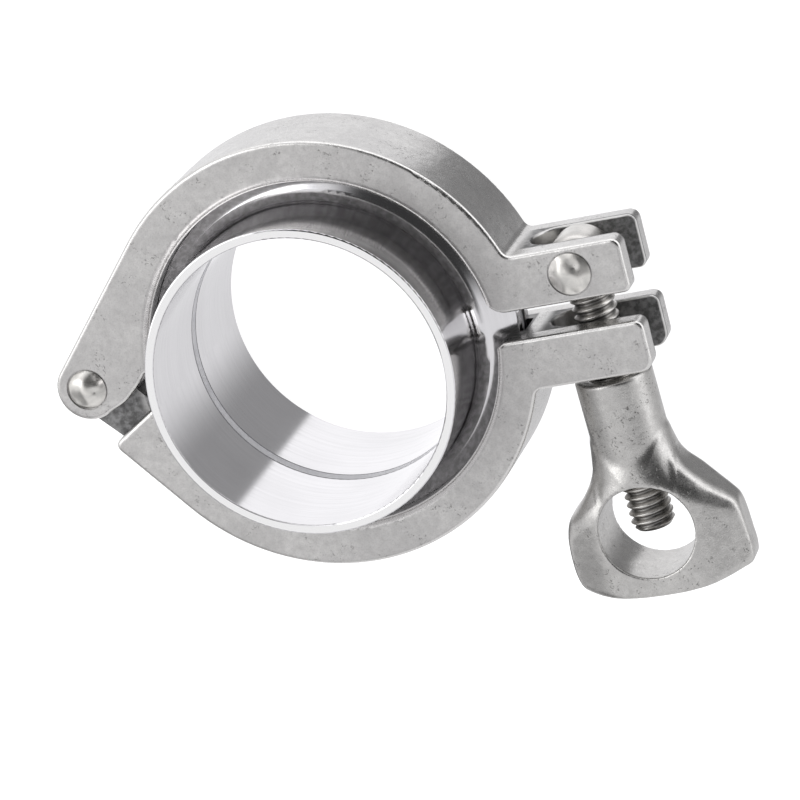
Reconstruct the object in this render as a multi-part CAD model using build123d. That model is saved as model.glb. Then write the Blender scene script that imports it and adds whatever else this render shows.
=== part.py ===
from build123d import *
import os
from math import sin, cos, tan, asin, acos, atan2, radians, degrees, sqrt, hypot

# Two-inch sanitary union: two weld ferrules and a gasket, held by a hinged
# V-band clamp with a swing bolt and a wing nut.
# Millimetres.  Z is the tube axis (up, out of the front ferrule), X points to
# the bolt side, Y to the half that carries the bolt.  The origin is on the
# tube axis, in the middle of the gasket.

# ---- tube, ferrules, gasket -------------------------------------------------
TUBE_R = 25.4            # 2 inch tube, outside
BORE_R = 23.9            # inside
FERRULE_END = 21.4       # end of each ferrule from the gasket's middle plane
FLANGE_R = 32.0          # 64 mm clamp flange
FACE_Z = 1.2             # sealing face from the middle plane
RIM_T = 2.1              # flange thickness at its rim
CONE = 20.0              # angle of the flange's back, degrees
NECK_FILLET = 2.6        # flange back to tube
BEAD_R = 28.3            # circle of the gasket's bead
BEAD = 1.35              # bead's section radius
RUN = 0.03               # clearance of the bead in the flange's groove

# ---- clamp halves -----------------------------------------------------------
HALF_W = 8.5             # half of the clamp's width along Z
RING_R = 36.05           # outside of the ring
UP_C = (-0.4, -0.15)     # centre of the upper half's outside arc
LO_C = (-0.6, 0.2)       # centre of the lower half's outside arc
LIP_R = 29.0             # inside of the lips
GROOVE_R = 32.8          # bottom of the V groove
LOWER_SEAT = 0.02        # lower half to flange, across the cone
UPPER_SEAT = 0.10        # upper half to flange, across the cone
EDGE = 0.75              # cast edge rounding
LIP_EDGE = 1.3           # rounding of the lips' inner edge
SLOT_EDGE = 0.4          # rounding of the slots' edges

SLOT_W = 4.5             # half of the slot's width in both forks
SLOT_IN = 36.4           # inner end of both slots
UP_TOP, UP_BOT, UP_END = 10.8, 1.8, 52.6
LO_TOP, LO_BOT, LO_END = -3.0, -11.6, 53.1
LO_CORNER = 2.2          # outer lower corner of the lower fork
UP_NOSE, LO_NOSE = 3.4, 1.9     # corner between lip and split, bolt side

# ---- hinge ------------------------------------------------------------------
HX, HY = -40.7, 1.2      # hinge pin
EAR_R = 5.35
TONGUE_W = 4.15          # half of the tongue's thickness
EAR_IN = 4.4             # inner face of each ear from the middle plane
KNUCKLE_R = 5.7          # relief round the tongue's end
PIN_R = 2.5              # both rivets
PIN_CLEAR = 0.05         # running clearance of tongue and bolt eye
HINGE_HEAD_R, HINGE_HEAD_H = 3.25, 1.45
BOLT_HEAD_R, BOLT_HEAD_H = 3.35, 0.95
SINK_W, SINK_D = 0.28, 0.35     # groove left round each rivet head

# ---- swing bolt and wing nut ------------------------------------------------
PX, PY = 43.6, 6.4       # bolt pin
LEAN = 1.4               # the bolt leans outwards in its slot, degrees
EYE_R, EYE_W, EYE_ROUND = 4.9, 4.1, 2.2
THREAD_R = 3.6           # thread, modelled plain
BOLT_LEN = 46.15         # pin centre to the bolt's end
NUT_BORE_R = 3.65
NUT_R = 6.35             # barrel
NUT_D = 19.65            # pin centre to the nut's top face
HOLE_V, HOLE_R = 25.5, 7.9      # eye of the wing, below the nut's top
WING_HALF_T, TIP_HALF_T = 6.4, 3.1
# outline of the wing: distance from the axis, distance below the nut's top
WING_R = [(6.5, 14.6), (7.2, 15.5), (8.5, 17.0), (10.0, 18.6), (11.8, 20.2),
          (13.6, 21.8), (14.6, 23.6), (15.05, 26.2), (15.35, 30.0), (15.45, 33.0),
          (14.9, 34.7), (12.9, 35.4), (8.4, 36.3), (4.0, 36.7), (0.0, 36.7)]
WING_L = [(6.5, 14.9), (7.2, 15.8), (8.3, 17.1), (9.5, 18.6), (11.1, 20.3),
          (12.7, 21.8), (13.7, 23.6), (14.1, 26.2), (14.35, 30.0), (14.1, 32.6),
          (13.4, 34.1), (11.8, 34.95), (8.0, 35.95), (4.0, 36.5)]

os.makedirs("parts", exist_ok=True)
t20 = tan(radians(CONE))


def rim_z(r, seat=0.0):
    """Back of the flange at radius r, moved outwards by seat across the cone."""
    return FACE_Z + RIM_T + (FLANGE_R - r) * t20 + seat / cos(radians(CONE))


# ---- ferrules ---------------------------------------------------------------
def ferrule():
    zn = rim_z(TUBE_R)
    face = make_face(Polyline(
        (BORE_R, FACE_Z), (FLANGE_R, FACE_Z), (FLANGE_R, FACE_Z + RIM_T),
        (TUBE_R, zn), (TUBE_R, FERRULE_END), (BORE_R, FERRULE_END), close=True))
    corner = face.vertices().sort_by_distance((TUBE_R, zn, 0))[0]
    face = fillet(corner, NECK_FILLET)
    rim = face.vertices().filter_by(lambda v: abs(v.X - FLANGE_R) < 1e-6)
    face = fillet(rim, 0.3)
    end = face.vertices().filter_by(lambda v: abs(v.Y - FERRULE_END) < 1e-6)
    face = fillet(end, 0.22)
    face = face - Pos(BEAD_R, FACE_Z) * Circle(BEAD + RUN)
    face = Plane.XZ * face if isinstance(face, Sketch) else Plane.XZ * Sketch() + face
    return revolve(face, Axis.Z, 360)


def section(points):
    return Plane.XZ * make_face(Polyline(*points, close=True))


front_ferrule = ferrule()
rear_ferrule = mirror(front_ferrule, Plane.XY)

# flat seal with a round bead on both faces
flat = make_face(Polyline((BORE_R, -FACE_Z), (FLANGE_R - 0.35, -FACE_Z),
                          (FLANGE_R - 0.35, FACE_Z), (BORE_R, FACE_Z), close=True))
seal = flat + Pos(BEAD_R, FACE_Z) * Circle(BEAD) + Pos(BEAD_R, -FACE_Z) * Circle(BEAD)
gasket = revolve(Plane.XZ * seal, Axis.Z, 360)


# ---- clamp halves -----------------------------------------------------------
def on(cx, cy, r, deg):
    return (cx + r * cos(radians(deg)), cy + r * sin(radians(deg)))


def outer_tangent(side):
    """Tangent points on the ear's circle and on the ring, on the +1 or -1 side."""
    cx, cy = UP_C
    base = degrees(atan2(cy - HY, cx - HX))
    off = side * degrees(acos((EAR_R - RING_R) / hypot(HX - cx, HY - cy)))
    return on(HX, HY, EAR_R, base + off), on(cx, cy, RING_R, base + off), base + off


def groove(seat):
    """V groove, cut from both halves: flanks, and a round bottom corner."""
    r0 = LIP_R - 2.0
    z0, z1 = rim_z(r0, seat), rim_z(GROOVE_R, seat)
    f = make_face(Polyline((r0, -z0), (GROOVE_R, -z1), (GROOVE_R, z1), (r0, z0), close=True))
    ends = f.vertices().filter_by(lambda v: abs(v.X - GROOVE_R) < 1e-6)
    f = fillet(ends, 0.5)
    return revolve(Plane.XZ * f, Axis.Z, 360)


def slab(face, half):
    return extrude(Pos(0, 0, -half) * face, 2 * half)


def u_slot(y0, y1, w):
    """Open slot with a full round inner end, along Y between y0 and y1."""
    c = SLOT_IN + w
    f = (Pos(c, 0) * Circle(w)) + (Pos(c + 20, 0) * Rectangle(40, 2 * w))
    # sketch plane: local x along X, local y along Z
    return extrude(Plane((0, y0, 0), x_dir=(1, 0, 0), z_dir=(0, 1, 0)) * f, y1 - y0)


def z_bore(x, y, r):
    return Pos(x, y, 0) * Cylinder(r, 60)


# upper half, with two ears and the fork that carries the bolt
te, tr, ta = outer_tangent(-1)
if te[1] < HY:
    te, tr, ta = outer_tangent(1)
ring_top = degrees(asin((UP_TOP - UP_C[1]) / RING_R))
in_r = degrees(asin(UP_BOT / LIP_R))
ear_low = on(HX, HY, EAR_R, -62)
split_up = [(-35.2, -2.25), (-33.0, -0.6), (-31.5, 0.75), (-30.4, 2.0)]
inner_left = 180 - degrees(atan2(2.6, LIP_R))
ring_arc = CenterArc(UP_C, RING_R, ring_top, ta - ring_top)
wire = [
    Line(on(0, 0, LIP_R, in_r), (UP_END, UP_BOT)),
    Line((UP_END, UP_BOT), (UP_END, UP_TOP)),
    Line((UP_END, UP_TOP), on(*UP_C, RING_R, ring_top)),
    ring_arc,
    Line(tr, te),
    ThreePointArc(te, on(HX, HY, EAR_R, -150), ear_low),
    Spline(ear_low, *split_up, tangents=[(sin(radians(62)), cos(radians(62))), (0.62, 0.78)]),
    Line((-30.4, 2.0), on(0, 0, LIP_R, inner_left)),
    CenterArc((0, 0), LIP_R, in_r, inner_left - in_r),
]
upper_face = make_face(wire)
pick = lambda f, x, y: f.vertices().sort_by_distance((x, y, 0))[0]
upper_face = fillet(pick(upper_face, UP_END, UP_TOP), 1.6)
upper_face = fillet(pick(upper_face, UP_END, UP_BOT), 1.2)
upper_face = fillet(pick(upper_face, *on(*UP_C, RING_R, ring_top)), 1.6)
upper_face = fillet(pick(upper_face, *on(0, 0, LIP_R, in_r)), UP_NOSE)

# lower half, with the tongue and the slotted fork
ring_low = degrees(asin((LO_BOT - LO_C[1]) / RING_R))
in_low = degrees(asin(LO_TOP / LIP_R))
end_a, end_b = (-39.1, -9.05), (-30.6, -3.95)
ax, ay = end_a[0] - LO_C[0], end_a[1] - LO_C[1]
tan_low = degrees(atan2(ay, ax)) % 360 + degrees(acos(RING_R / hypot(ax, ay)))
low_left = 180 + degrees(atan2(3.3, LIP_R))
wire = [
    Line(on(0, 0, LIP_R, in_low), (LO_END, LO_TOP)),
    Line((LO_END, LO_TOP), (LO_END, LO_BOT)),
    Line((LO_END, LO_BOT), on(*LO_C, RING_R, ring_low)),
    CenterArc(LO_C, RING_R, tan_low, 360 + ring_low - tan_low),
    Line(on(*LO_C, RING_R, tan_low), end_a),
    Line(end_a, end_b),
    Line(end_b, on(0, 0, LIP_R, low_left)),
    CenterArc((0, 0), LIP_R, low_left, 360 + in_low - low_left),
]
lower_face = make_face(wire)
lower_face = fillet(pick(lower_face, LO_END, LO_TOP), 1.5)
lower_face = fillet(pick(lower_face, LO_END, LO_BOT), LO_CORNER)
lower_face = fillet(pick(lower_face, *on(*LO_C, RING_R, ring_low)), 1.6)
lower_face = fillet(pick(lower_face, *on(0, 0, LIP_R, in_low)), LO_NOSE)
lower_face = fillet(pick(lower_face, *end_a), 1.3)


def half(face):
    body = slab(face, HALF_W)
    rims = [e for e in body.edges() if abs(abs(e.center().Z) - HALF_W) < 1e-6
            and abs(e.position_at(0).Z - e.position_at(1).Z) < 1e-6]
    lips = [e for e in rims if e.geom_type == GeomType.CIRCLE
            and abs(e.radius - LIP_R) < 1e-3]
    outer = [e for e in rims if e not in lips]
    return body, outer, lips


def finish_half(face, seat):
    body, outer, lips = half(face)
    body = fillet(outer, EDGE)
    return body - groove(seat)


upper = finish_half(upper_face, UPPER_SEAT)
lower = finish_half(lower_face, LOWER_SEAT)

# rounded inner edge of each lip
def lip_round():
    r = LIP_EDGE
    tool = []
    for s in (1, -1):
        f = make_face(Polyline((LIP_R - 1, s * (HALF_W + 1)), (LIP_R + r, s * (HALF_W + 1)),
                               (LIP_R + r, s * (HALF_W - r)), (LIP_R - 1, s * (HALF_W - r)), close=True))
        f = f - Pos(LIP_R + r, s * (HALF_W - r)) * Circle(r)
        tool.append(revolve(Plane.XZ * f, Axis.Z, 360))
    return tool


for t in lip_round():
    upper = upper - t
    lower = lower - t

# forks
upper = upper - u_slot(UP_BOT - 3, UP_TOP + 3, SLOT_W)
lower = lower - u_slot(LO_BOT - 3, LO_TOP + 3, SLOT_W)


def slot_edges(body, y):
    """Edges of the slot's mouth in the fork's face at height y."""
    return [e for e in body.edges()
            if abs(e.center().Y - y) < 1e-3 and abs(e.position_at(0).Y - y) < 1e-3
            and abs(e.position_at(1).Y - y) < 1e-3
            and abs(e.center().Z) < SLOT_W + 0.01 and SLOT_IN - 0.01 < e.center().X < 51
            and (abs(abs(e.center().Z) - SLOT_W) < 1e-3 or e.geom_type == GeomType.CIRCLE)]


# the rounding runs on round the arms' ends to the underside
upper = fillet(slot_edges(upper, UP_TOP), SLOT_EDGE)
lower = fillet(slot_edges(lower, LO_TOP), SLOT_EDGE)

# hinge tongue on the lower half
a = -138
tg = [on(HX, HY, EAR_R, a)]
tip = (-38.7, -8.8)
tongue_face = (Pos(HX, HY) * Circle(EAR_R)) + make_face(Polyline(
    (HX, HY), on(HX, HY, EAR_R, a), tip, (-34.5, -9.5), (-31.8, -6.0), (-32.6, -3.2),
    on(HX, HY, EAR_R, -8), close=True))
tongue = slab(tongue_face, TONGUE_W)
tongue = tongue - groove(LOWER_SEAT) - Cylinder(LIP_R, 60)
# relief in the upper half for the tongue
relief_face = (Pos(HX, HY) * Circle(KNUCKLE_R)) + offset(tongue_face, 0.45)
relief = slab(relief_face, EAR_IN)
upper = upper - relief
# relief in the lower half round the ears
lower = lower - (Pos(HX, HY, 0) * Cylinder(KNUCKLE_R, 2 * HALF_W + 4))
lower = lower + tongue
lower = lower - z_bore(HX, HY, PIN_R + PIN_CLEAR)
upper = upper - z_bore(HX, HY, PIN_R) - z_bore(PX, PY, PIN_R)


def head_groove(x, y, r):
    ring = Cylinder(r + SINK_W, 2 * SINK_D) - Cylinder(r - 0.05, 2 * SINK_D)
    return [Pos(x, y, s * HALF_W) * ring for s in (1, -1)]


for g in head_groove(HX, HY, HINGE_HEAD_R) + head_groove(PX, PY, BOLT_HEAD_R):
    upper = upper - g


# ---- rivets -----------------------------------------------------------------
def rivet(x, y, r, head_r, head_h, flat_r):
    """Shank with a domed head at both faces of the clamp."""
    z = HALF_W
    rs = (head_r**2 + head_h**2) / (2 * head_h)
    pts = Polyline((0, -z), (0, z + head_h))
    up = ThreePointArc((0, z + head_h),
                       (head_r * 0.55, z + head_h - (rs - sqrt(rs**2 - (head_r * 0.55)**2))),
                       (head_r, z + 0.0))
    face = make_face([Line((0, 0), (0, z + head_h)), up, Line((head_r, z), (r, z)),
                      Line((r, z), (r, 0)), Line((r, 0), (0, 0))])
    one = revolve(Plane.XZ * face, Axis.Z, 360)
    both = one + mirror(one, Plane.XY)
    return Pos(x, y, 0) * both


hinge_pin = rivet(HX, HY, PIN_R, HINGE_HEAD_R, HINGE_HEAD_H, 0)
bolt_pin = rivet(PX, PY, PIN_R, BOLT_HEAD_R, BOLT_HEAD_H, 0)

# ---- swing bolt (built along -Y from the pin, then leaned) ------------------
lean = Pos(PX, PY, 0) * Rot(0, 0, LEAN)
eye = Cylinder(EYE_R, 2 * EYE_W)
eye = fillet(eye.edges().filter_by(GeomType.CIRCLE), EYE_ROUND)
shank = Plane((0, 0, 0), z_dir=(0, -1, 0)) * (
    Pos(0, 0, BOLT_LEN / 2) * Cylinder(THREAD_R, BOLT_LEN))
shank = chamfer(shank.edges().sort_by(Axis.Y)[0], 0.8)
bolt = eye + shank - Cylinder(PIN_R + PIN_CLEAR, 40)
swing_bolt = lean * bolt

# ---- wing nut ---------------------------------------------------------------
right = [(u, -NUT_D - v) for u, v in WING_R]
left = [(-u, -NUT_D - v) for u, v in reversed(WING_L)]
top_v = -NUT_D - 12.0
outline = Spline(*right, *left)
f = make_face([outline, Line(left[-1], (-5.0, top_v)), Line((-5.0, top_v), (5.0, top_v)),
               Line((5.0, top_v), right[0])])
paddle = slab(f, WING_HALF_T + 1)
# taper of the wing towards its tips, seen along the bolt
w, c = WING_HALF_T, TIP_HALF_T
plan = make_face(Polyline((-8, w), (8, w), (16.2, c - 0.4), (16.2, -c + 0.4), (8, -w), (-8, -w),
                          (-16.2, -c + 0.4), (-16.2, c - 0.4), close=True))
plan = fillet([v for v in plan.vertices() if abs(v.X) < 10], 6)
wedge = extrude(Plane((0, -NUT_D - 45, 0), x_dir=(1, 0, 0), z_dir=(0, -1, 0)) * plan, -45)
paddle = paddle & wedge
barrel = Plane((0, -NUT_D, 0), z_dir=(0, -1, 0)) * (Pos(0, 0, 10) * Cylinder(NUT_R, 20))
barrel = chamfer(barrel.edges().filter_by(GeomType.CIRCLE).sort_by(Axis.Y)[-1], 0.35)
nut = paddle + barrel
nut = nut - (Pos(0, -NUT_D - HOLE_V, 0) * Cylinder(HOLE_R, 40))
nut = nut - (Plane((0, -NUT_D + 1, 0), z_dir=(0, -1, 0)) * (Pos(0, 0, 12.5) * Cylinder(NUT_BORE_R, 25)))
wing_nut = lean * nut

PARTS = {
    "lower_clamp_half": lower,
    "upper_clamp_half": upper,
    "hinge_pin": hinge_pin,
    "bolt_pin": bolt_pin,
    "swing_bolt": swing_bolt,
    "wing_nut": wing_nut,
    "front_ferrule": front_ferrule,
    "rear_ferrule": rear_ferrule,
    "gasket": gasket,
}
for name, shape in PARTS.items():
    export_step(shape, f"parts/{name}.step")
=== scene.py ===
import bpy
import math
import numpy as np
from mathutils import Matrix, Vector


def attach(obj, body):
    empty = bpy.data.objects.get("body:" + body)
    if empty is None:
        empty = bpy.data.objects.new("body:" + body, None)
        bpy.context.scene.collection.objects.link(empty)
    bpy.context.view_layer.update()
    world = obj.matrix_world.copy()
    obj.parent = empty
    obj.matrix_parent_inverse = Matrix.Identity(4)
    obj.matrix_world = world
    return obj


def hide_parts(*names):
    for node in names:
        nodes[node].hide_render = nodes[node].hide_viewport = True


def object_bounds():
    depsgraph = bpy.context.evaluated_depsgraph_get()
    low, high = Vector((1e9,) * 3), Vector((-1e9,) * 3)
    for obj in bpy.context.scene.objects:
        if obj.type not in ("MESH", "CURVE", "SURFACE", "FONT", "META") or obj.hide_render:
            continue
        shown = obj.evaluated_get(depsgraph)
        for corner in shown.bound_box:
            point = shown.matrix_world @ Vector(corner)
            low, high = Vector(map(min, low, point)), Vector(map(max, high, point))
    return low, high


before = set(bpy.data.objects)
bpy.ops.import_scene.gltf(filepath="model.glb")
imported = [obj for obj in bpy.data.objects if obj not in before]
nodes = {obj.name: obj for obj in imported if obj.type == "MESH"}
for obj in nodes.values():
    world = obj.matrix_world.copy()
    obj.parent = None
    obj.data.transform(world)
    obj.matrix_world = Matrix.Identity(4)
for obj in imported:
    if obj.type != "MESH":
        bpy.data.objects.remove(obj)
cad_lo, cad_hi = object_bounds()
scene = bpy.context.scene
MM = 0.001

# places and sizes shared with the CAD model, mm
PX, PY = 43.6, 6.4           # bolt pin
LEAN = math.radians(1.4)     # the bolt leans outwards
NUT_D = 19.65                # pin centre to the nut's top
NUT_R, NUT_BORE_R = 6.35, 3.65
HOLE_V, HOLE_R = 25.5, 7.9   # the nut's eye
WING_HALF_T, TIP_HALF_T = 6.4, 3.1
SEAL_HALF = 1.2               # half the seal between the sealing faces
THREAD_R, PITCH, THREAD_DEPTH = 3.6, 1.411, 0.62
BOLT_LEN = 46.15
EYE_R, EYE_W, EYE_ROUND = 4.9, 4.1, 2.2
PIN_HOLE_R = 2.55


# ------------------------------------------------------------------ meshes
def new_object(name, verts, faces, smooth=True):
    me = bpy.data.meshes.new(name)
    me.from_pydata([tuple(v) for v in verts], [], [tuple(f) for f in faces])
    me.validate(clean_customdata=False)
    me.update()
    if smooth:
        me.polygons.foreach_set("use_smooth", [True] * len(me.polygons))
    ob = bpy.data.objects.new(name, me)
    scene.collection.objects.link(ob)
    return ob


def from_pin(u, s, z):
    """mm beside and along the bolt's axis, from the bolt pin, to metres in the row frame."""
    c, q = math.cos(LEAN), math.sin(LEAN)
    return np.stack([(PX + u * c + s * q) * MM, (PY + u * q - s * c) * MM, z * MM], axis=-1)


def surface(field, lo, h):
    """Mesh of the zero surface of a sampled field, negative inside (surface nets)."""
    s = field < 0
    n = field.shape
    corner = lambda i, j, k: (slice(i, n[0] - 1 + i), slice(j, n[1] - 1 + j), slice(k, n[2] - 1 + k))
    count = np.zeros((n[0] - 1, n[1] - 1, n[2] - 1), np.uint8)
    for i in (0, 1):
        for j in (0, 1):
            for k in (0, 1):
                count += s[corner(i, j, k)]
    active = (count > 0) & (count < 8)
    index = -np.ones(active.shape, np.int64)
    index[active] = np.arange(int(active.sum()))
    total = np.zeros((int(active.sum()), 3))
    hits = np.zeros(int(active.sum()))
    for axis in range(3):
        others = [a for a in range(3) if a != axis]
        for o1 in (0, 1):
            for o2 in (0, 1):
                off = [0, 0, 0]
                off[others[0]], off[others[1]] = o1, o2
                far = list(off)
                far[axis] = 1
                f0, f1 = field[corner(*off)][active], field[corner(*far)][active]
                hit = (f0 < 0) != (f1 < 0)
                t = np.where(hit, f0 / np.where(hit, f0 - f1, 1), 0)
                add = np.zeros_like(total)
                for a in range(3):
                    add[:, a] = off[a]
                add[:, axis] = t
                total[hit] += add[hit]
                hits += hit
    cells = np.argwhere(active)
    points = cells + total / hits[:, None]
    # pull each point onto the surface
    grads = np.gradient(field)
    for _ in range(3):
        base = np.clip(np.floor(points).astype(int), 0, np.array(n) - 2)
        f = points - base
        def lerp(a):
            out = 0
            for i in (0, 1):
                for j in (0, 1):
                    for k in (0, 1):
                        w = ((f[:, 0] if i else 1 - f[:, 0]) * (f[:, 1] if j else 1 - f[:, 1])
                             * (f[:, 2] if k else 1 - f[:, 2]))
                        out = out + w * a[base[:, 0] + i, base[:, 1] + j, base[:, 2] + k]
            return out
        v = lerp(field)
        g = np.stack([lerp(a) for a in grads], axis=-1)
        step = (v / np.maximum((g * g).sum(1), 1e-6))[:, None] * g
        points = points - np.clip(step, -0.4, 0.4)
    quads = []
    for axis in range(3):
        b, c = [a for a in range(3) if a != axis]
        p0 = [slice(None)] * 3
        p1 = [slice(None)] * 3
        p0[axis], p1[axis] = slice(0, -1), slice(1, None)
        p0[b] = p1[b] = slice(1, -1)
        p0[c] = p1[c] = slice(1, -1)
        s0, s1 = s[tuple(p0)], s[tuple(p1)]
        at = np.argwhere(s0 != s1)
        inside_first = s0[s0 != s1]
        at[:, b] += 1
        at[:, c] += 1
        around = []
        for db, dc in ((-1, -1), (0, -1), (0, 0), (-1, 0)):
            q = at.copy()
            q[:, b] += db
            q[:, c] += dc
            around.append(index[q[:, 0], q[:, 1], q[:, 2]])
        q = np.stack(around, axis=-1)
        flip = inside_first if axis != 1 else ~inside_first
        q[~flip] = q[~flip][:, ::-1]
        quads.append(q)
    return points * h + np.array(lo), np.concatenate(quads)


def round_and(a, b, r):
    """Intersection of two fields with their shared edge rounded to radius r."""
    return np.minimum(-r, np.maximum(a, b)) + np.hypot(np.maximum(a + r, 0), np.maximum(b + r, 0))


def round_or(a, b, r):
    """Union of two fields with a concave blend of radius r."""
    return np.maximum(r, np.minimum(a, b)) - np.hypot(np.maximum(r - a, 0), np.maximum(r - b, 0))


def polygon_distance(pu, pv, poly):
    """Signed distance to a closed polygon, negative inside."""
    best = np.full(pu.shape, 1e9)
    inside = np.zeros(pu.shape, bool)
    a = np.asarray(poly)
    for (x0, y0), (x1, y1) in zip(a, np.roll(a, -1, axis=0)):
        ex, ey = x1 - x0, y1 - y0
        t = np.clip(((pu - x0) * ex + (pv - y0) * ey) / (ex * ex + ey * ey + 1e-12), 0, 1)
        best = np.minimum(best, (pu - x0 - t * ex) ** 2 + (pv - y0 - t * ey) ** 2)
        cross = ((y0 > pv) != (y1 > pv)) & (pu < (x1 - x0) * (pv - y0) / (y1 - y0 + 1e-12) + x0)
        inside ^= cross
    return np.where(inside, -1, 1) * np.sqrt(best)


def through(points, per=8):
    """Smooth open curve through the points (centripetal Catmull-Rom)."""
    p = [np.array(q, float) for q in points]
    p = [2 * p[0] - p[1]] + p + [2 * p[-1] - p[-2]]
    out = []
    for i in range(1, len(p) - 2):
        p0, p1, p2, p3 = p[i - 1:i + 3]
        t0 = 0.0
        t1 = t0 + np.linalg.norm(p1 - p0) ** 0.5
        t2 = t1 + np.linalg.norm(p2 - p1) ** 0.5
        t3 = t2 + np.linalg.norm(p3 - p2) ** 0.5
        for t in np.linspace(t1, t2, per, endpoint=False):
            a1 = (t1 - t) / (t1 - t0) * p0 + (t - t0) / (t1 - t0) * p1
            a2 = (t2 - t) / (t2 - t1) * p1 + (t - t1) / (t2 - t1) * p2
            a3 = (t3 - t) / (t3 - t2) * p2 + (t - t2) / (t3 - t2) * p3
            b1 = (t2 - t) / (t2 - t0) * a1 + (t - t0) / (t2 - t0) * a2
            b2 = (t3 - t) / (t3 - t1) * a2 + (t - t1) / (t3 - t1) * a3
            out.append((t2 - t) / (t2 - t1) * b1 + (t - t1) / (t2 - t1) * b2)
    out.append(p[-2])
    return out


# ------------------------------------------------------------------ wing nut
WING_R = [(6.5, 14.1), (7.4, 15.5), (8.6, 17.0), (10.1, 18.7), (12.0, 20.8),
          (13.9, 22.8), (14.8, 24.0), (15.1, 26.2), (15.34, 30.0), (15.42, 33.0),
          (14.9, 34.7), (12.9, 35.4), (8.4, 36.3), (4.0, 36.7), (0.0, 36.7)]
WING_L = [(6.5, 14.9), (7.2, 16.0), (8.3, 17.4), (9.5, 18.9), (11.1, 20.6),
          (12.7, 22.1), (13.7, 23.8), (14.1, 26.2), (14.35, 30.0), (14.1, 32.6),
          (13.4, 34.1), (11.8, 34.95), (8.0, 35.95), (4.0, 36.5)]


def make_nut():
    h = 0.26
    u = np.arange(-15.5, 16.6, h)
    v = np.arange(-0.8, 37.8, h)
    z = np.arange(-7.2, 7.2 + h, h)
    outline = through(WING_R + [(-a, b) for a, b in reversed(WING_L)], 6)
    outline = [(5.6, 11.0)] + [tuple(q) for q in outline] + [(-5.6, 11.0)]
    U2, V2 = np.meshgrid(u, v, indexing="ij")
    flat = polygon_distance(U2, V2, outline)[:, :, None]
    U, V, Z = U2[:, :, None], V2[:, :, None], z[None, None, :]
    au = np.abs(U)
    # half thickness: flat in the middle, tapering to the tips with a soft bend
    x = au - 8.4
    soft = 0.5 * (x + np.sqrt(x * x + 3.2))
    half = WING_HALF_T - 0.56 * soft + 0.06
    # the faces swell gently out of the barrel
    k = np.clip((V - 8.0) / 11.0, 0, 1)
    half = half - 2.3 * (1 - k * k * (3 - 2 * k))
    faces = (np.abs(Z) - half) * np.where(au > 7, 0.915, 1.0)
    # the shoulders carry a broad chamfer that narrows to the tips
    w = np.clip((26.5 - V) / 3.0, 0, 1)
    w = w * w * (3 - 2 * w)
    leg = 0.25 + (np.interp(au, [6, 7.5, 9.5, 11.5, 13.5, 15.2], [2.9, 2.3, 1.65, 1.2, 0.8, 0.45]) - 0.25) * w
    chamfer = (0.80 * flat + 1.0 * faces + leg) * 0.78
    paddle = round_and(faces, chamfer, 0.4 + 0.3 * w)
    paddle = round_and(paddle, flat, 0.4 + 0.5 * w)
    barrel = np.sqrt(U * U + Z * Z) - NUT_R
    barrel = round_and(barrel, -V + 0 * Z, 0.45)
    barrel = round_and(barrel, V - 21.0 + 0 * Z, 3.0)
    body = round_or(paddle, barrel, 2.6)
    eye = HOLE_R - np.sqrt(U * U + (V - HOLE_V) ** 2) + 0 * Z
    body = round_and(body, eye, 0.22)
    bore = NUT_BORE_R - np.sqrt(U * U + Z * Z)
    bore = np.minimum(bore, 22.0 - V)
    # countersink at the bore's mouth
    cone = (4.35 - V - np.sqrt(U * U + Z * Z)) * 0.7071
    body = np.maximum(body, np.maximum(bore, np.where(V < 3, cone, -1)))
    pts, quads = surface(body, (u[0], v[0], z[0]), h)
    xyz = from_pin(pts[:, 0], NUT_D + pts[:, 1], pts[:, 2])
    return new_object("wing_nut_cast", xyz, quads[:, ::-1])


nut = make_nut()


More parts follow.
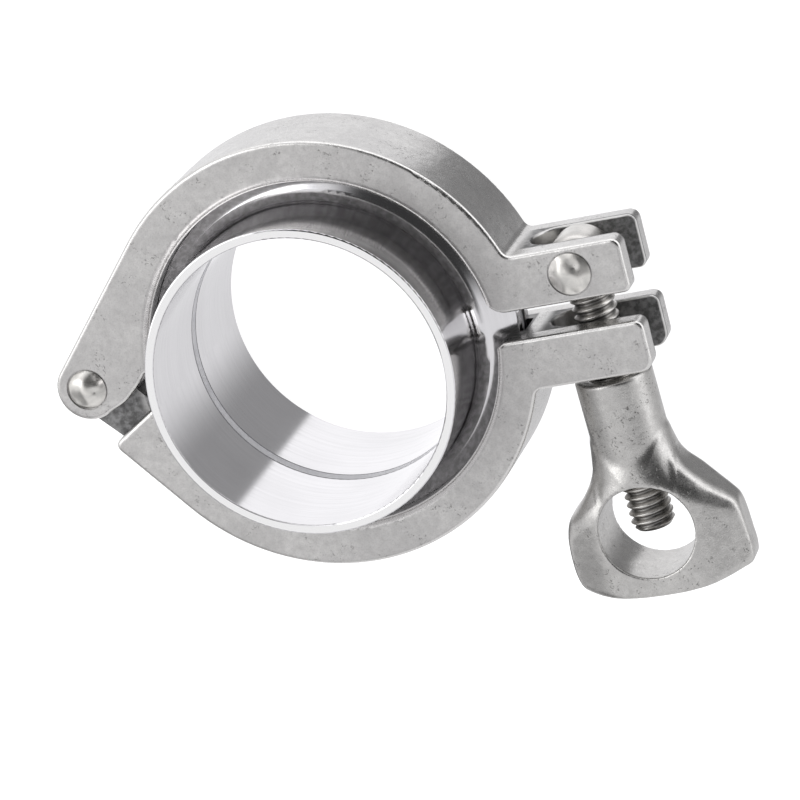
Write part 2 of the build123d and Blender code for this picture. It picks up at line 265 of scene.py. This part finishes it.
# ------------------------------------------------------------------ swing bolt
def make_bolt():
    verts, faces = [], []
    # eye: revolved about the pin
    prof = [(PIN_HOLE_R, -EYE_W + 0.12), (PIN_HOLE_R + 0.1, -EYE_W)]
    for t in np.linspace(-90, 0, 15):
        prof.append((EYE_R - EYE_ROUND + EYE_ROUND * math.cos(math.radians(t)),
                     -EYE_W + EYE_ROUND + EYE_ROUND * math.sin(math.radians(t))))
    prof += [(r, -z) for r, z in reversed(prof)]
    m, k = 96, len(prof)
    for i in range(m):
        a = 2 * math.pi * i / m
        for r, z in prof:
            verts.append(((PX + r * math.cos(a)) * MM, (PY + r * math.sin(a)) * MM, z * MM))
    for i in range(m):
        for j in range(k):
            faces.append((i * k + j, (i + 1) % m * k + j, (i + 1) % m * k + (j + 1) % k, i * k + (j + 1) % k))
    # shank with a right-hand thread
    first = len(verts)
    s0, m = 3.3, 72
    rows = int((BOLT_LEN - s0) / (PITCH / 14)) + 1
    s = np.linspace(s0, BOLT_LEN, rows)[:, None]
    th = (np.arange(m) * 2 * math.pi / m)[None, :]
    phase = (s / PITCH - th / (2 * math.pi)) % 1.0
    x = np.clip((np.abs(2 * phase - 1) - 0.10) / 0.74, 0, 1)
    shape = x * x * (3 - 2 * x) * 0.45 + x * 0.55
    fade = np.clip((s - 4.6) / 1.2, 0, 1)
    r = THREAD_R - 0.25 * (1 - fade) - THREAD_DEPTH * shape * fade
    r = np.minimum(r, THREAD_R + 0.05 - np.clip(s - (BOLT_LEN - 0.95), 0, 1) * 0.85)
    # local frame: bolt axis a, e1 = z, e2 = a x e1 (about the pin, before the lean)
    zz = r * np.cos(th)
    uu = -r * np.sin(th)
    pts = from_pin(uu, s + 0 * r, zz).reshape(-1, 3)
    verts += [tuple(p) for p in pts]
    for i in range(rows - 1):
        a, b = first + i * m, first + (i + 1) * m
        for j in range(m):
            faces.append((a + j, a + (j + 1) % m, b + (j + 1) % m, b + j))
    top, end = len(verts), len(verts) + 1
    verts.append(tuple(from_pin(np.float64(0), np.float64(s0), np.float64(0))))
    verts.append(tuple(from_pin(np.float64(0), np.float64(BOLT_LEN), np.float64(0))))
    last = first + (rows - 1) * m
    for j in range(m):
        faces.append((first + (j + 1) % m, first + j, top))
        faces.append((last + j, last + (j + 1) % m, end))
    ob = new_object("swing_bolt_threaded", verts, faces)
    return ob


bolt = make_bolt()


def fix_normals(ob):
    import bmesh
    bm = bmesh.new()
    bm.from_mesh(ob.data)
    bmesh.ops.recalc_face_normals(bm, faces=bm.faces)
    bm.to_mesh(ob.data)
    bm.free()
    ob.data.update()


fix_normals(bolt)
fix_normals(nut)


def sharp_by_angle(ob, deg):
    ob.data.set_sharp_from_angle(angle=math.radians(deg))


sharp_by_angle(bolt, 50)

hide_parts("wing_nut")
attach(nut, "nut")
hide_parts("swing_bolt")
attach(bolt, "bolt")


# ------------------------------------------------------------------ materials
class Tree:
    def __init__(self, name):
        self.mat = bpy.data.materials.new(name)
        self.mat.use_nodes = True
        self.nt = self.mat.node_tree
        self.nt.nodes.clear()
        self.out = self.node("ShaderNodeOutputMaterial")
        self.bsdf = self.node("ShaderNodeBsdfPrincipled")
        self.link(self.bsdf.outputs["BSDF"], self.out.inputs["Surface"])
        self.coord = self.node("ShaderNodeTexCoord")

    def node(self, kind, **props):
        n = self.nt.nodes.new(kind)
        for k, v in props.items():
            setattr(n, k, v)
        return n

    def link(self, a, b):
        self.nt.links.new(a, b)

    def set(self, **vals):
        for k, v in vals.items():
            self.bsdf.inputs[k.replace("_", " ")].default_value = v

    def noise(self, scale, detail=3.0, rough=0.55, vector=None, distort=0.0):
        n = self.node("ShaderNodeTexNoise")
        n.inputs["Scale"].default_value = scale
        n.inputs["Detail"].default_value = detail
        n.inputs["Roughness"].default_value = rough
        n.inputs["Distortion"].default_value = distort
        self.link(vector or self.coord.outputs["Object"], n.inputs["Vector"])
        return n.outputs["Fac"]

    def voronoi(self, scale, vector=None, feature="F1"):
        n = self.node("ShaderNodeTexVoronoi", feature=feature)
        n.inputs["Scale"].default_value = scale
        self.link(vector or self.coord.outputs["Object"], n.inputs["Vector"])
        return n.outputs["Distance"]

    def fit(self, value, a, b, c, d, smooth=False):
        n = self.node("ShaderNodeMapRange")
        if smooth:
            n.interpolation_type = "SMOOTHSTEP"
        self.link(value, n.inputs["Value"])
        for i, x in enumerate((a, b, c, d)):
            n.inputs[i + 1].default_value = x
        return n.outputs["Result"]

    def math(self, op, a, b=None, c=None):
        n = self.node("ShaderNodeMath", operation=op)
        for i, x in enumerate((a, b, c)):
            if x is None:
                continue
            if hasattr(x, "is_linked") or hasattr(x, "links"):
                self.link(x, n.inputs[i])
            else:
                n.inputs[i].default_value = x
        return n.outputs["Value"]

    def mix(self, fac, a, b):
        n = self.node("ShaderNodeMix", data_type="RGBA")
        self.link(fac, n.inputs["Factor"])
        for x, s in ((a, n.inputs[6]), (b, n.inputs[7])):
            if isinstance(x, tuple):
                s.default_value = x + (1.0,) if len(x) == 3 else x
            else:
                self.link(x, s)
        return n.outputs[2]

    def bump(self, height, strength, distance, normal=None):
        n = self.node("ShaderNodeBump")
        n.inputs["Strength"].default_value = strength
        n.inputs["Distance"].default_value = distance
        self.link(height, n.inputs["Height"])
        if normal is not None:
            self.link(normal, n.inputs["Normal"])
        return n.outputs["Normal"]


def cast_material(name, base, worn, edge_mask=True, pits=1.0, rough=(0.36, 0.48), painted_recess_shade=False):
    t = Tree(name)
    t.set(Metallic=1.0)
    grain = t.noise(4200, 3.0, 0.6)
    coarse = t.noise(900, 3.0, 0.6)
    cloud = t.noise(110, 4.0, 0.6, distort=0.4)
    patch = t.noise(260, 2.0, 0.5)
    # pits gather in patches
    shake = t.node("ShaderNodeTexNoise")
    shake.inputs["Scale"].default_value = 1300
    t.link(t.coord.outputs["Object"], shake.inputs["Vector"])
    vec = t.node("ShaderNodeVectorMath", operation="MULTIPLY_ADD")
    t.link(shake.outputs["Color"], vec.inputs[0])
    vec.inputs[1].default_value = (0.0022, 0.0022, 0.0022)
    t.link(t.coord.outputs["Object"], vec.inputs[2])
    small = t.fit(t.voronoi(1500, vec.outputs[0]), 0.12, 0.30, 1.0, 0.0, True)
    big = t.fit(t.voronoi(800, vec.outputs[0]), 0.10, 0.24, 1.0, 0.0, True)
    where = t.fit(patch, 0.53, 0.62, 0.0, 1.0, True)
    pit = t.math("MULTIPLY", t.math("MAXIMUM", small, t.math("MULTIPLY", big, 0.8)), where)
    colour = t.mix(t.fit(cloud, 0.35, 0.65, 0.0, 1.0), base, worn)
    tone = t.fit(coarse, 0.35, 0.72, 0.0, 0.42)
    colour = t.mix(tone, colour, tuple(0.70 * c for c in worn))
    colour = t.mix(t.fit(grain, 0.45, 0.75, 0.0, 0.35), colour, tuple(0.62 * c for c in worn))
    colour = t.mix(t.math("MULTIPLY", pit, 0.62 * pits), colour, (0.10, 0.095, 0.09))
    rgh = t.fit(grain, 0.3, 0.7, rough[0], rough[1])
    sp = t.node("ShaderNodeSeparateXYZ")
    t.link(t.coord.outputs["Object"], sp.inputs[0])
    if painted_recess_shade:
        # painted shade: the colour is darkened in the fork slots and on the tongue between the hinge ears, where the
        # parts shade each other
        az = t.math("ABSOLUTE", sp.outputs[2])
        fork = t.math("MULTIPLY", t.fit(sp.outputs[0], 0.0345, 0.0365, 0.0, 1.0, True),
                      t.fit(az, 0.00495, 0.0053, 1.0, 0.0, True))
        tongue = t.math("MULTIPLY", t.fit(sp.outputs[0], -0.0345, -0.0325, 1.0, 0.0, True),
                        t.fit(az, 0.0046, 0.0050, 1.0, 0.0, True))
        tongue = t.math("MULTIPLY", tongue, t.fit(sp.outputs[1], -0.0092, -0.0088, 0.0, 1.0))
        recess_shade_mask = t.math("MAXIMUM", fork, tongue)
        # painted shade: also darkened in the groove and on the inner wall of the lips
        rr = t.math("POWER", t.math("ADD", t.math("MULTIPLY", sp.outputs[0], sp.outputs[0]),
                                    t.math("MULTIPLY", sp.outputs[1], sp.outputs[1])), 0.5)
        nn = t.node("ShaderNodeSeparateXYZ")
        t.link(t.coord.outputs["Normal"], nn.inputs[0])
        groove = t.math("MULTIPLY", t.fit(rr, 0.0331, 0.0334, 1.0, 0.0), t.fit(az, 0.0052, 0.0056, 1.0, 0.0))
        wall = t.math("MULTIPLY", t.fit(rr, 0.0292, 0.0295, 1.0, 0.0),
                      t.fit(t.math("ABSOLUTE", nn.outputs[2]), 0.15, 0.35, 1.0, 0.0))
        recess_shade_mask = t.math("MAXIMUM", recess_shade_mask, t.math("MULTIPLY", t.math("MAXIMUM", groove, wall), 0.78))
        # mottled dark grey used for the painted shade
        mott = t.fit(coarse, 0.40, 0.62, 0.10, 0.30)
        dark = t.node("ShaderNodeCombineColor")
        for i in range(3):
            t.link(mott, dark.inputs[i])
        colour = t.mix(t.math("MULTIPLY", recess_shade_mask, 0.88), colour, dark.outputs[0])
        # painted shade: a thin dark band on the lower half's end beside the hinge, along the crease where it meets the
        # tongue
        off = t.math("ADD", t.math("MULTIPLY", t.math("ADD", sp.outputs[0], 0.0391), -0.514),
                     t.math("MULTIPLY", t.math("ADD", sp.outputs[1], 0.00905), 0.857))
        end = t.math("MULTIPLY", t.fit(t.math("ABSOLUTE", off), 0.0002, 0.0005, 1.0, 0.0),
                     t.fit(sp.outputs[0], -0.0306, -0.0302, 1.0, 0.0))
        end = t.math("MULTIPLY", end, t.fit(t.math("ABSOLUTE", nn.outputs[2]), 0.50, 0.75, 1.0, 0.0))
        colour = t.mix(t.math("MULTIPLY", end, 0.75), colour, dark.outputs[0])
        # the outer walls are polished smoother than the faces
        side_wall = t.math("MULTIPLY", t.fit(t.math("ABSOLUTE", nn.outputs[2]), 0.15, 0.40, 1.0, 0.0),
                           t.math("SUBTRACT", 1.0, recess_shade_mask))
        rgh = t.math("SUBTRACT", rgh, t.math("MULTIPLY", side_wall, 0.15))
        rgh = t.math("ADD", rgh, t.math("MULTIPLY", recess_shade_mask, 0.10))
    if edge_mask:
        # cast edges are burnished brighter and smoother than the blasted faces
        sep = t.node("ShaderNodeSeparateXYZ")
        t.link(t.coord.outputs["Normal"], sep.inputs[0])
        nz = t.math("ABSOLUTE", sep.outputs[2])
        lo = t.fit(nz, 0.10, 0.30, 0.0, 1.0, True)
        hi = t.fit(nz, 0.90, 0.985, 1.0, 0.0, True)
        edge = t.math("MULTIPLY", lo, hi)
        colour = t.mix(t.math("MULTIPLY", edge, 0.7), colour, (0.80, 0.79, 0.77))
        rgh = t.math("SUBTRACT", rgh, t.math("MULTIPLY", edge, 0.16))
    t.link(colour, t.bsdf.inputs["Base Color"])
    t.link(rgh, t.bsdf.inputs["Roughness"])
    height = t.math("SUBTRACT", t.math("MULTIPLY", grain, 0.55), t.math("MULTIPLY", pit, 0.8))
    height = t.math("ADD", height, t.math("MULTIPLY", coarse, 0.7))
    wave = t.noise(230, 2.0, 0.5)
    n = t.bump(wave, 0.35, 0.00035)
    t.link(t.bump(height, 0.42, 0.00007, n), t.bsdf.inputs["Normal"])
    return t.mat


def turned_material(name, base, rough, lines=0.35):
    """Turned and polished: fine lines run round the tube's axis."""
    t = Tree(name)
    t.set(Metallic=1.0, Anisotropic=0.0)
    tang = t.node("ShaderNodeTangent", direction_type="RADIAL", axis="Z")
    t.link(tang.outputs[0], t.bsdf.inputs["Tangent"])
    sep = t.node("ShaderNodeSeparateXYZ")
    t.link(t.coord.outputs["Object"], sep.inputs[0])
    r = t.math("POWER", t.math("ADD", t.math("MULTIPLY", sep.outputs[0], sep.outputs[0]),
                               t.math("MULTIPLY", sep.outputs[1], sep.outputs[1])), 0.5)
    ang = t.math("ARCTAN2", sep.outputs[1], sep.outputs[0])
    comb = t.node("ShaderNodeCombineXYZ")
    t.link(r, comb.inputs[0])
    t.link(sep.outputs[2], comb.inputs[1])
    t.link(t.math("MULTIPLY", ang, 0.0007), comb.inputs[2])
    fine = t.noise(9000, 3.0, 0.6, comb.outputs[0])
    mid = t.noise(1700, 3.0, 0.55, comb.outputs[0])
    cloud = t.noise(70, 3.0, 0.5)
    colour = t.mix(t.fit(cloud, 0.35, 0.65, 0.0, 1.0), base, tuple(c * 0.93 for c in base))
    colour = t.mix(t.fit(mid, 0.35, 0.70, 0.0, 0.28), colour, tuple(c * 0.80 for c in base))
    # painted highlight: faces that look along the tube's axis, the end faces among them, get a near-white colour
    # standing in for the bright reflection on them
    sn = t.node("ShaderNodeSeparateXYZ")
    t.link(t.coord.outputs["Normal"], sn.inputs[0])
    painted_face_highlight = t.fit(t.math("ABSOLUTE", sn.outputs[2]), 0.95, 0.995, 0.0, 1.0)
    colour = t.mix(painted_face_highlight, colour, (0.97, 0.965, 0.955))
    t.link(colour, t.bsdf.inputs["Base Color"])
    t.link(t.fit(mid, 0.25, 0.75, rough * 0.8, rough * 1.45), t.bsdf.inputs["Roughness"])
    h = t.math("ADD", t.math("MULTIPLY", fine, 0.6), mid)
    t.link(t.bump(h, lines, 0.000008), t.bsdf.inputs["Normal"])
    return t.mat


def rivet_material(name):
    t = Tree(name)
    t.set(Metallic=1.0)
    cloud = t.noise(500, 2.0, 0.5, distort=0.6)
    grain = t.noise(5200, 3.0, 0.6)
    facet = t.voronoi(420, feature="SMOOTH_F1")
    colour = t.mix(t.fit(cloud, 0.35, 0.65, 0.0, 1.0), (0.82, 0.80, 0.76), (0.64, 0.63, 0.60))
    t.link(colour, t.bsdf.inputs["Base Color"])
    t.link(t.fit(grain, 0.3, 0.7, 0.27, 0.40), t.bsdf.inputs["Roughness"])
    n = t.bump(facet, 0.7, 0.0009)
    n = t.bump(grain, 0.18, 0.00004, n)
    t.link(n, t.bsdf.inputs["Normal"])
    return t.mat


def bolt_material(name):
    t = Tree(name)
    t.set(Metallic=1.0)
    cloud = t.noise(300, 3.0, 0.55)
    grain = t.noise(6000, 3.0, 0.6)
    colour = t.mix(t.fit(cloud, 0.35, 0.65, 0.0, 1.0), (0.70, 0.68, 0.65), (0.56, 0.55, 0.53))
    # painted shade: the thread's valleys are darkened along the threaded shank
    sp = t.node("ShaderNodeSeparateXYZ")
    t.link(t.coord.outputs["Object"], sp.inputs[0])
    c, q = math.cos(LEAN), math.sin(LEAN)
    u = t.math("ADD", t.math("MULTIPLY", t.math("SUBTRACT", sp.outputs[0], PX * MM), c),
               t.math("MULTIPLY", t.math("SUBTRACT", sp.outputs[1], PY * MM), q))
    r = t.math("POWER", t.math("ADD", t.math("MULTIPLY", u, u), t.math("MULTIPLY", sp.outputs[2], sp.outputs[2])), 0.5)
    low = t.math("MULTIPLY", t.fit(r, 0.00300, 0.00345, 1.0, 0.0, True),
                 t.fit(sp.outputs[1], PY * MM - 0.0046, PY * MM - 0.0040, 1.0, 0.0))
    colour = t.mix(t.math("MULTIPLY", low, 0.78), colour, (0.12, 0.115, 0.11))
    t.link(colour, t.bsdf.inputs["Base Color"])
    t.link(t.fit(grain, 0.3, 0.7, 0.24, 0.38), t.bsdf.inputs["Roughness"])
    t.link(t.bump(grain, 0.2, 0.00004), t.bsdf.inputs["Normal"])
    return t.mat


def seal_material(name):
    t = Tree(name)
    t.set(Metallic=0.0, IOR=1.43)
    cloud = t.noise(240, 3.0, 0.5)
    grain = t.noise(5000, 2.0, 0.5)
    colour = t.mix(t.fit(cloud, 0.35, 0.65, 0.0, 1.0), (0.80, 0.80, 0.82), (0.70, 0.70, 0.73))
    sp = t.node("ShaderNodeSeparateXYZ")
    t.link(t.coord.outputs["Object"], sp.inputs[0])
    # painted shade: dark lines along both edges of the seal, where it meets the ferrule faces
    painted_seal_edge_shade = t.fit(t.math("ABSOLUTE", sp.outputs[2]), SEAL_HALF * MM - 0.00042, SEAL_HALF * MM - 0.00022, 0.0, 1.0, True)
    colour = t.mix(t.math("MULTIPLY", painted_seal_edge_shade, 0.85), colour, (0.10, 0.10, 0.11))
    t.link(colour, t.bsdf.inputs["Base Color"])
    t.link(t.fit(grain, 0.3, 0.7, 0.38, 0.52), t.bsdf.inputs["Roughness"])
    t.link(t.bump(grain, 0.15, 0.00004), t.bsdf.inputs["Normal"])
    return t.mat


cast = cast_material("cast_steel_blasted", (0.66, 0.65, 0.635), (0.57, 0.56, 0.55), painted_recess_shade=True)
cast_nut = cast_material("cast_steel_nut", (0.64, 0.63, 0.61), (0.55, 0.54, 0.525), edge_mask=False, pits=1.2, rough=(0.24, 0.35))
ferrule = turned_material("turned_steel_polished", (0.83, 0.82, 0.83), 0.11)
rivet = rivet_material("rivet_steel_burnished")
bolt_mat = bolt_material("bolt_steel_thread")
seal = seal_material("seal_white_silicone")


def paint(ob, mat):
    ob.data.materials.clear() if ob in (nut, bolt) else None
    if len(ob.material_slots) == 0:
        ob.data.materials.append(mat)
    for s in ob.material_slots:
        s.material = mat


paint(nodes["lower_clamp_half"], cast)
paint(nodes["upper_clamp_half"], cast)
paint(nodes["front_ferrule"], ferrule)
paint(nodes["rear_ferrule"], ferrule)
paint(nodes["hinge_pin"], rivet)
paint(nodes["bolt_pin"], rivet)
paint(nodes["gasket"], seal)
paint(nut, cast_nut)
paint(bolt, bolt_mat)

# ------------------------------------------------------------------ floor
floor_z = cad_lo.z
fm = Tree("floor_pale")
fm.set(Roughness=0.65, Metallic=0.0)
fm.bsdf.inputs["Base Color"].default_value = (0.45, 0.45, 0.45, 1)
fm.bsdf.inputs["Specular IOR Level"].default_value = 0.15
fm.bsdf.inputs["Emission Color"].default_value = (1, 1, 1, 1)
fm.bsdf.inputs["Emission Strength"].default_value = 0.84
S = 3.0
floor = new_object("floor", [(-S, -S, floor_z), (S, -S, floor_z), (S, S, floor_z), (-S, S, floor_z)],
                   [(0, 1, 2, 3)], smooth=False)
floor.data.materials.append(fm.mat)
floor.visible_glossy = False

# ------------------------------------------------------------------ light
world = bpy.data.worlds.new("studio")
scene.world = world
world.use_nodes = True
wt = world.node_tree
wt.nodes.clear()
wo = wt.nodes.new("ShaderNodeOutputWorld")
bg = wt.nodes.new("ShaderNodeBackground")
wt.links.new(bg.outputs[0], wo.inputs[0])
tc = wt.nodes.new("ShaderNodeTexCoord")
sx = wt.nodes.new("ShaderNodeSeparateXYZ")
wt.links.new(tc.outputs["Generated"], sx.inputs[0])


def wmath(op, a, b=None):
    n = wt.nodes.new("ShaderNodeMath")
    n.operation = op
    for i, x in enumerate((a, b)):
        if x is None:
            continue
        if isinstance(x, (int, float)):
            n.inputs[i].default_value = x
        else:
            wt.links.new(x, n.inputs[i])
    return n.outputs[0]


def wfit(v, a, b, c, d):
    n = wt.nodes.new("ShaderNodeMapRange")
    n.interpolation_type = "SMOOTHSTEP"
    wt.links.new(v, n.inputs["Value"])
    for i, x in enumerate((a, b, c, d)):
        n.inputs[i + 1].default_value = x
    return n.outputs["Result"]


# a pale studio with two unlit patches: behind the camera, and low on the far left
def patch(x, y, z, inner, outer):
    d = math.sqrt(x * x + y * y + z * z)
    dot = wmath("ADD", wmath("ADD", wmath("MULTIPLY", sx.outputs[0], x / d), wmath("MULTIPLY", sx.outputs[1], y / d)),
                wmath("MULTIPLY", sx.outputs[2], z / d))
    return wfit(dot, math.cos(math.radians(outer)), math.cos(math.radians(inner)), 0.0, 1.0)


# below the horizon: pale ground, with a dark stretch to the right of the object
angle = wmath("ARCTAN2", sx.outputs[1], sx.outputs[0])
side = wmath("MULTIPLY", wfit(angle, math.radians(-34), math.radians(14), 0.0, 1.0),
             wfit(angle, math.radians(58), math.radians(63), 1.0, 0.0))
below = wmath("MULTIPLY", wfit(sx.outputs[2], -0.62, -0.30, 1.0, 0.0), side)
ground = wfit(sx.outputs[2], -0.60, -0.25, 0.26, 0.0)
dim = wmath("MULTIPLY", wfit(angle, math.radians(-130), math.radians(-105), 0.0, 1.0),
            wfit(angle, math.radians(0), math.radians(30), 1.0, 0.0))
ground = wmath("MULTIPLY", ground, wmath("SUBTRACT", 1.0, wmath("MULTIPLY", dim, 1.25)))
horizon = wmath("MULTIPLY", wfit(sx.outputs[2], -0.30, -0.10, 0.0, 1.0), wfit(sx.outputs[2], 0.16, 0.32, 1.0, 0.0))
horizon = wmath("MULTIPLY", horizon, wmath("MULTIPLY", wfit(angle, math.radians(-30), math.radians(0), 0.0, 1.0),
                                           wfit(angle, math.radians(100), math.radians(130), 1.0, 0.0)))
shade = wmath("MAXIMUM", patch(0.34, 0.32, 0.885, 20, 30), patch(0.683, 0.183, 0.707, 15, 27))
shade = wmath("MAXIMUM", shade, patch(0.36, 0.62, 0.70, 17, 27))
shade = wmath("MAXIMUM", shade, patch(0.62, 0.485, 0.616, 14, 22))
level = wmath("SUBTRACT", wmath("ADD", 0.86, ground), wmath("MULTIPLY", shade, 0.83))
level = wmath("ADD", level, wmath("MULTIPLY", horizon, 0.95))
level = wmath("SUBTRACT", level, wmath("MULTIPLY", below, wmath("ADD", 0.54, ground)))
level = wmath("SUBTRACT", level, wmath("MULTIPLY", patch(-0.74, -0.62, 0.27, 12, 28), 0.60))
level = wmath("SUBTRACT", level, wmath("MULTIPLY", patch(-0.75, -0.30, -0.60, 12, 23), 0.95))
level = wmath("MAXIMUM", level, 0.04)
col = wt.nodes.new("ShaderNodeCombineColor")
wt.links.new(level, col.inputs[0])
wt.links.new(level, col.inputs[1])
wt.links.new(wmath("MULTIPLY", level, 1.02), col.inputs[2])
wt.links.new(col.outputs[0], bg.inputs["Color"])
bg.inputs["Strength"].default_value = 1.0


def softbox(name, loc, target, size, power, glossy=True):
    d = bpy.data.lights.new(name, "AREA")
    d.shape = "RECTANGLE"
    d.size, d.size_y = size
    d.energy = power
    o = bpy.data.objects.new(name, d)
    scene.collection.objects.link(o)
    o.location = loc
    o.rotation_mode = "QUATERNION"
    o.rotation_quaternion = (Vector(target) - Vector(loc)).to_track_quat("-Z", "Y")
    o.visible_glossy = glossy
    return o


softbox("key_left", (-0.62, 0.36, 0.62), (0, 0, 0), (0.8, 0.8), 2.6)
softbox("fill_floor", (0.0, 0.0, 1.6), (0, 0, 0), (2.4, 2.4), 20.0, glossy=False)

# ------------------------------------------------------------------ camera
cam = bpy.data.cameras.new("camera")
cam.sensor_width = 36.0
cam.lens = 3877.95 / 800 * 36.0
cam.clip_start, cam.clip_end = 0.02, 20.0
cam_ob = bpy.data.objects.new("camera", cam)
scene.collection.objects.link(cam_ob)
right = Vector((0.93571016, -0.24928714, -0.24960453))
down = Vector((-0.15649762, -0.92745744, 0.33960445))
ahead = Vector((-0.3161566, -0.27870882, -0.9068442))
m = Matrix.Identity(4)
for i in range(3):
    m[i][0], m[i][1], m[i][2] = right[i], -down[i], -ahead[i]
m[0][3], m[1][3], m[2][3] = 0.207162, 0.163483, 0.570812
cam_ob.matrix_world = m
scene.camera = cam_ob
scene.view_settings.view_transform = "Standard"
scene.view_settings.look = "None"
